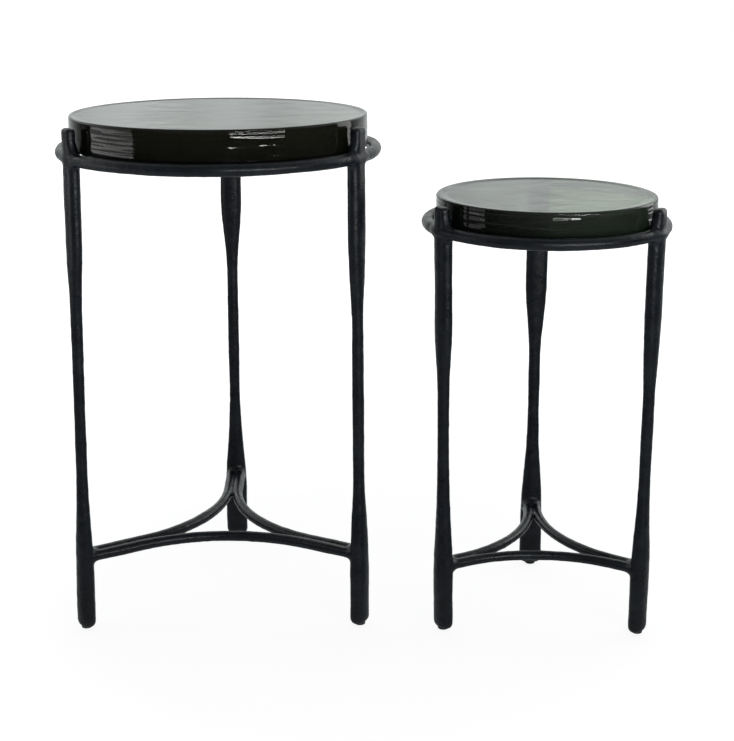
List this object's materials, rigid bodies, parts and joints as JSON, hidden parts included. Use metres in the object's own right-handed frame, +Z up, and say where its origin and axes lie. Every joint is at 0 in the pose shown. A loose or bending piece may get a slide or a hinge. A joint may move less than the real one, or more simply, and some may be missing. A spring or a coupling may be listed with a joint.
{
  "type": "nesting tables",
  "caption": "Nesting round side tables: black forged-iron frames with a hoop, pronged legs and curved rods hold thick dark green cast-glass tops; the small one slides under the large.",
  "frame": {"origin": "middle of the pair's bounding box, on the floor, with the small table standing beside the large one", "axes": "+X runs from the large table to the small one, +Y runs to the back legs, +Z is up"},
  "size_m": [0.724, 0.3912, 0.61],
  "materials": {
    "forged_iron": "satin black, lightly hammered",
    "cast_glass": "polished, hand cast, dark bottle green",
    "clear_bumper": "clear, soft",
    "black_glide": "matte black"
  },
  "bodies": {
    "large_frame": {"large_bumper_back": "clear_bumper", "large_bumper_left": "clear_bumper", "large_bumper_right": "clear_bumper", "large_glide_back": "black_glide", "large_glide_left": "black_glide", "large_glide_right": "black_glide", "large_hoop_front": "forged_iron", "large_hoop_left": "forged_iron", "large_hoop_right": "forged_iron", "large_leg_back": "forged_iron", "large_leg_left": "forged_iron", "large_leg_right": "forged_iron", "large_rod_front": "forged_iron", "large_rod_left": "forged_iron", "large_rod_right": "forged_iron", "large_seat_back": "forged_iron", "large_seat_left": "forged_iron", "large_seat_right": "forged_iron"},
    "large_top": {"large_glass_top": "cast_glass"},
    "small_frame": {"small_bumper_back": "clear_bumper", "small_bumper_left": "clear_bumper", "small_bumper_right": "clear_bumper", "small_glide_back": "black_glide", "small_glide_left": "black_glide", "small_glide_right": "black_glide", "small_hoop_front": "forged_iron", "small_hoop_left": "forged_iron", "small_hoop_right": "forged_iron", "small_leg_back": "forged_iron", "small_leg_left": "forged_iron", "small_leg_right": "forged_iron", "small_rod_front": "forged_iron", "small_rod_left": "forged_iron", "small_rod_right": "forged_iron", "small_seat_back": "forged_iron", "small_seat_left": "forged_iron", "small_seat_right": "forged_iron"},
    "small_top": {"small_glass_top": "cast_glass"}
  },
  "joints": [
    {"name": "large_top_lift", "type": "slide", "parent": "large_frame", "child": "large_top", "axis": [0, 0, 1], "range_m": [0, 0.06]},
    {"name": "small_table_nest", "type": "slide", "parent": "large_frame", "child": "small_frame", "axis": [-0.829, 0.5592, 0], "range_m": [0, 0.24]},
    {"name": "small_top_lift", "type": "slide", "parent": "small_frame", "child": "small_top", "axis": [0, 0, 1], "range_m": [0, 0.035]}
  ]
}
